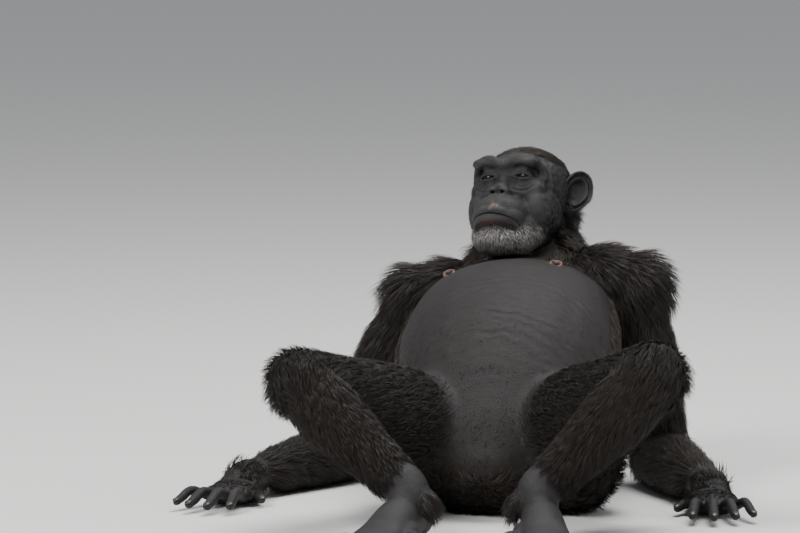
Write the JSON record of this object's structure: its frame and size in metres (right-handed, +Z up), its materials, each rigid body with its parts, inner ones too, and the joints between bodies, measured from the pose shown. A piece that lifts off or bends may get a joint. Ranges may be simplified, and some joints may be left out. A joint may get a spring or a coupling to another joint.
{
  "type": "reclining chimpanzee model",
  "caption": "Life-size still model of an adult chimpanzee lying back on its elbows, head raised and turned, knees bent and spread.",
  "frame": {"origin": "on the floor, in the middle of the flat under the seat", "axes": "+Z up; the animal faces -Y and its left side is at +X"},
  "size_m": [0.8873, 0.982, 0.5174],
  "materials": {
    "coat": "long black hair with a soft sheen over dark grey skin",
    "face_skin": "bare charcoal-grey skin, finely wrinkled",
    "hand_skin": "bare dark skin, creased at the knuckles",
    "eyes": "wet and glossy dark brown"
  },
  "bodies": {
    "root": {"abdomen": "coat", "chest": "coat", "neck": "coat", "head": "face_skin", "ear_left": "face_skin", "ear_right": "face_skin", "eye_left": "eyes", "eye_right": "eyes", "upper_arm_left": "coat", "upper_arm_right": "coat", "forearm_left": "coat", "forearm_right": "coat", "hand_left": "hand_skin", "hand_right": "hand_skin", "thigh_left": "coat", "thigh_right": "coat", "shin_left": "coat", "shin_right": "coat", "foot_left": "hand_skin", "foot_right": "hand_skin"}
  },
  "joints": []
}
